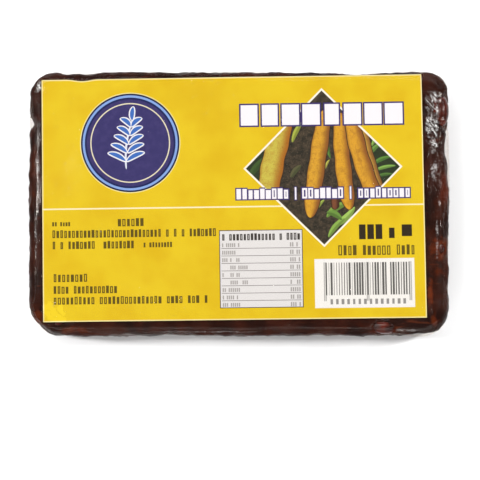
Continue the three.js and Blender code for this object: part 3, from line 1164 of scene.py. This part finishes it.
def badge(r, u, v, spot, colour):
    centre, radius = BADGE["centre"], BADGE["radius"]
    rings = [(0.25, "f3e7a0"), (0.0, "121a44"), (-0.5, "86a9e8"), (-1.15, "141f56"), (-1.7, "36316a")]
    cloudy = r.noise(spot, 0.5, 3, 0.7)
    distance = disc_distance(r, u, v, centre, radius)
    for grow, code in rings:
        colour = r.blend(inside(r, distance, grow), colour, ink(code))
    dusk = r.math("MINIMUM", inside(r, distance, -1.7), r.spread(cloudy, 0.4, 0.75, 0.0, 0.5))
    colour = r.blend(dusk, colour, ink("4a427c"))
    hoop = r.math("ABSOLUTE", r.math("ADD", distance, 2.9))
    colour = r.blend(inside(r, hoop, 0.16), colour, ink("e9e2c4"))
    stem_low, stem_high = (centre[0] - 1.2, centre[1] - 7.6), (centre[0] + 0.6, centre[1] + 6.4)
    stem = strip(r, u, v, stem_low, stem_high, 0.8, 0.28, 8.0)
    colour = r.blend(inside(r, stem["Distance"]), colour, ink("dfe6f7"))
    for pair in range(5):
        height = centre[1] - 5.4 + 2.5 * pair
        reach = 5.4 - 0.55 * pair
        for side in (-1, 1):
            root = (centre[0] - 1.2 + 0.38 * pair, height)
            tip = (root[0] + side * reach, height + 2.6)
            colour = sprig_leaf(r, u, v, root, tip, side * 0.5, colour)
    tip = (stem_high[0] + 0.4, stem_high[1] + 4.2)
    return sprig_leaf(r, u, v, stem_high, tip, 0.2, colour)


# %% Put the printing together
PAPER_TONE = 0.72  # ink and paper send back this share of the light


def label_finish():
    material, r = new_material("printed_paper")
    uv = r.node("ShaderNodeTexCoord").outputs["UV"]
    spot = r.stretch(uv, (*LABEL_SIZE, 1))
    split = r.node("ShaderNodeSeparateXYZ", {0: spot}).outputs
    u, v = split["X"], split["Y"]
    colour = ground(r, u, v, spot)
    colour = picture_in_diamond(r, u, v, spot, colour)
    colour = headings(r, u, v, colour)
    colour = small_print(r, u, v, colour)
    colour = ruled_table(r, u, v, colour)
    colour = bar_pattern(r, u, v, colour)
    colour = badge(r, u, v, spot, colour)
    colour = r.blend(1.0, colour, (*[PAPER_TONE] * 3, 1), kind="MULTIPLY")
    shader = r.node("ShaderNodeBsdfPrincipled", {"Base Color": colour, "Roughness": 0.55})
    shader.inputs["Specular IOR Level"].default_value = 0.15
    r.feed(shader.inputs["Normal"], r.bump(r.noise(r.place, 2500, 2), 0.02, 0.4))
    r.feed(r.end, shader.outputs[0])
    print("label finish:", len(r.tree.nodes), "nodes")
    return material


def bare_paper():
    material, r = new_material("bare_paper")
    shader = r.node("ShaderNodeBsdfPrincipled", {"Base Color": ink("ece6d2"), "Roughness": 0.6})
    r.feed(shader.inputs["Normal"], r.bump(r.noise(r.place, 2500, 2), 0.02, 0.4))
    r.feed(r.end, shader.outputs[0])
    return material


dress(label, label_finish())
label.data.materials.append(bare_paper())
for face in label.data.polygons:
    face.material_index = 0 if face.normal.z > 0.2 else 1

# %% [markdown]
# ### Clear film
# Film this thin doesn't bend light, it only mirrors a little of it. So its recipe lets everything
# through and adds a mirror by Fresnel: faint where it is seen square on, stronger where it turns
# away, up to a limit, because its rims cling to the dark pulp. Fine waves and hair creases are
# bump, because they are far thinner than the mesh's squares.
#
# Where the film is gathered, its folds are too small and too steep for a mesh, so the highlight
# along each one is painted: a line of white diffuse laid over the film. The lines are the
# middles of a noise stretched along the folds. They are kept to a patch beside the label's far
# right corner, and a few soft painted glints, spots of the same white, lie beside the label.

# %% Painted highlights: crinkle lines and glints
# Glints: place x, y, half sizes across and up, how white
GLINTS = [
    ((56.0, 16.9), (1.0, 1.9), 0.34),
    ((55.6, 21.4), (1.6, 0.45), 0.26),
    ((56.3, 9.8), (1.0, 3.2), 0.2),
    ((57.2, 31.2), (1.1, 0.5), 0.45),
    ((57.2, 27.7), (0.35, 1.6), 0.3),
    ((55.6, 23.8), (1.6, 2.4), 0.12),
    ((59.7, 11.0), (0.35, 2.8), 0.14),
    ((-58.2, 34.0), (0.8, 1.5), 0.4),
    ((-58.4, 12.0), (0.5, 8.0), 0.16),
    ((-59.0, -8.0), (0.4, 6.0), 0.12),
    ((57.2, -9.0), (0.4, 7.0), 0.1),
    ((48.0, -36.6), (5.0, 0.35), 0.14),
    ((-10.0, -37.0), (14.0, 0.3), 0.08),
]


# The gathered patch: where it starts and is full, in millimetres, at each of its four edges
PATCH_LEFT = (53.4, 54.6)
PATCH_RIGHT = (57.8, 56.6)
PATCH_NEAR = (17.5, 20.0)
PATCH_FAR = (33.0, 31.5)


def painted_crinkle_highlights(r, across):
    """Painted highlights: thin white lines that run along the folds, in the gathered patch."""
    folds = r.noise(r.stretch(across, (230, 1900, 600)), 1, 2, 0.5, 0.9)
    lines = r.spread(r.math("ABSOLUTE", r.math("SUBTRACT", folds, 0.5)), 0.0, 0.045, 0.46, 0.0)
    split = r.node("ShaderNodeSeparateXYZ", {0: r.place}).outputs
    left, right = (r.spread(split["X"], *(at * MM for at in edge)) for edge in (PATCH_LEFT, PATCH_RIGHT))
    near, far = (r.spread(split["Y"], *(at * MM for at in edge)) for edge in (PATCH_NEAR, PATCH_FAR))
    patch = r.math("MULTIPLY", r.math("MULTIPLY", left, right), r.math("MULTIPLY", near, far))
    broken = r.spread(r.noise(r.place, 420, 2), 0.36, 0.54)
    return r.math("MULTIPLY", lines, r.math("MULTIPLY", patch, broken))


def glints(r):
    """Painted glints: soft white spots, broken up by noise."""
    split = r.node("ShaderNodeSeparateXYZ", {0: r.place}).outputs
    broken = r.spread(r.noise(r.place, 1700, 3, 0.6), 0.44, 0.58, 0.0, 1.0)
    ragged = r.spread(r.noise(r.place, 480, 3, 0.6), 0.3, 0.7, -0.8, 0.9)
    total = ovals(r, split, GLINTS, ragged)
    above = r.spread(split["Z"], 9 * MM, 14 * MM)
    return r.math("MULTIPLY", total, r.math("MULTIPLY", broken, above))


# %% The film's finish
FILM_MIRROR = 0.007  # the most that the film mirrors
FILM_IOR = 1.17
MOST_PAINTED_HIGHLIGHT = 0.5  # the most that crinkles and glints together cover what is behind them


def film_finish():
    material, r = new_material("clear_film")
    across = r.stretch(r.place, (1, 1, 1), (0, 0, 50))
    hairs = r.noise(r.stretch(across, (160, 900, 400)), 1, 3, 0.6, 0.8)
    hairs = r.spread(r.math("ABSOLUTE", r.math("SUBTRACT", hairs, 0.5)), 0.0, 0.09, 1.0, 0.0)
    hold = r.spread(r.noise(r.place, 55, 2), 0.48, 0.66)
    hairs = r.math("MULTIPLY", hairs, hold)
    waves = r.noise(r.place, 140, 2, 0.5, 0.4)
    normal = r.bump(waves, 0.35, 0.55)
    normal = r.bump(hairs, 0.05, 0.6, normal)
    fresnel = r.node("ShaderNodeFresnel", {"IOR": FILM_IOR, "Normal": normal}).outputs[0]
    clear = r.node("ShaderNodeBsdfTransparent", {"Color": (0.975, 0.965, 0.955, 1)})
    shine = r.node("ShaderNodeBsdfGlossy", {"Color": (1, 0.94, 0.9, 1), "Roughness": 0.1, "Normal": normal})
    share = r.math("MINIMUM", fresnel, FILM_MIRROR)
    both = r.node("ShaderNodeMixShader", {0: share, 1: clear.outputs[0], 2: shine.outputs[0]})
    # Painted highlights: a white diffuse laid over the film where the crinkle lines and glints fall.
    white = r.node("ShaderNodeBsdfDiffuse", {"Color": (1, 0.99, 0.97, 1)})
    lit = r.math("MINIMUM", r.math("ADD", painted_crinkle_highlights(r, across), glints(r)), MOST_PAINTED_HIGHLIGHT)
    both = r.node("ShaderNodeMixShader", {0: lit, 1: both.outputs[0], 2: white.outputs[0]})
    r.feed(r.end, both.outputs[0])
    return material


dress(film, film_finish())
print("film finish made")

# %% [markdown]
# ## Put the pieces on the body
# Every piece rides on the one body and stands for its CAD solid, which is hidden.

# %% Ride and replace
for piece, node, slot in [
    (pulp, "pulp_slab", "pulp"),
    (label, "printed_label", "label"),
    (film, "film_wrap", "film"),
    *((seed, name, "seed") for name, seed in seeds.items()),
]:
    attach(piece, "root")
    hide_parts(node)
    piece.vertex_groups.clear()

# %% [markdown]
# ## Stage, light and camera
# A pale floor, two strip lights on the left and right that draw the highlights along the film,
# and two wide boxes at the near and far sides. None hangs straight above, because a flat film
# would mirror it into the camera as a haze. A small one stands near the top left, where the
# film's slow waves catch it as a faint sheen.


# %% Floor
def make_floor():
    bpy.ops.mesh.primitive_plane_add(size=3, location=(0, 0, 0))
    floor = settle(bpy.context.object, "floor")
    material, r = new_material("pale_floor")
    shader = r.node("ShaderNodeBsdfDiffuse", {"Color": (0.97, 0.97, 0.97, 1)})
    r.feed(r.end, shader.outputs[0])
    dress(floor, material)
    return floor


make_floor()


# %% Lights
def soft_box(name, place, size, watts):
    bpy.ops.object.light_add(type="AREA", location=place)
    light = bpy.context.object
    light.name = name
    light.data.shape = "RECTANGLE"
    light.data.size, light.data.size_y = size
    light.data.energy = watts
    light.rotation_euler = (-Vector(place)).to_track_quat("-Z", "Y").to_euler()


soft_box("left_strip", (-0.5, 0.05, 0.6), (0.06, 0.4), 3.8)
soft_box("right_strip", (0.5, 0.15, 0.55), (0.05, 0.4), 3.7)
soft_box("near_box", (0.0, -0.8, 0.6), (1.4, 0.7), 6.0)
soft_box("far_box", (0.0, 0.8, 0.6), (1.4, 0.7), 6.0)
soft_box("sheen_box", (-0.26, 0.1, 0.75), (0.16, 0.16), 1.0)
world = bpy.data.worlds.new("studio")
bpy.context.scene.world = world
world.use_nodes = True
world.node_tree.nodes["Background"].inputs["Color"].default_value = (1, 1, 1, 1)
world.node_tree.nodes["Background"].inputs["Strength"].default_value = 0.12
bpy.context.scene.view_settings.view_transform = "Standard"

# %% Camera
CAMERA_HEIGHT = 1.0  # above the label
VIEW_WIDTH = 138.9  # what the frame is wide, in millimetres, at the label
VIEW_CENTRE = Vector((0.14, -10.4))  # the camera stands a little towards the near side
bpy.ops.object.camera_add(location=(*(VIEW_CENTRE * MM), cad_high.z + CAMERA_HEIGHT))
camera = bpy.context.object
camera.data.lens = camera.data.sensor_width * CAMERA_HEIGHT / (VIEW_WIDTH * MM)
bpy.context.scene.camera = camera
print("camera lens:", round(camera.data.lens), "mm")
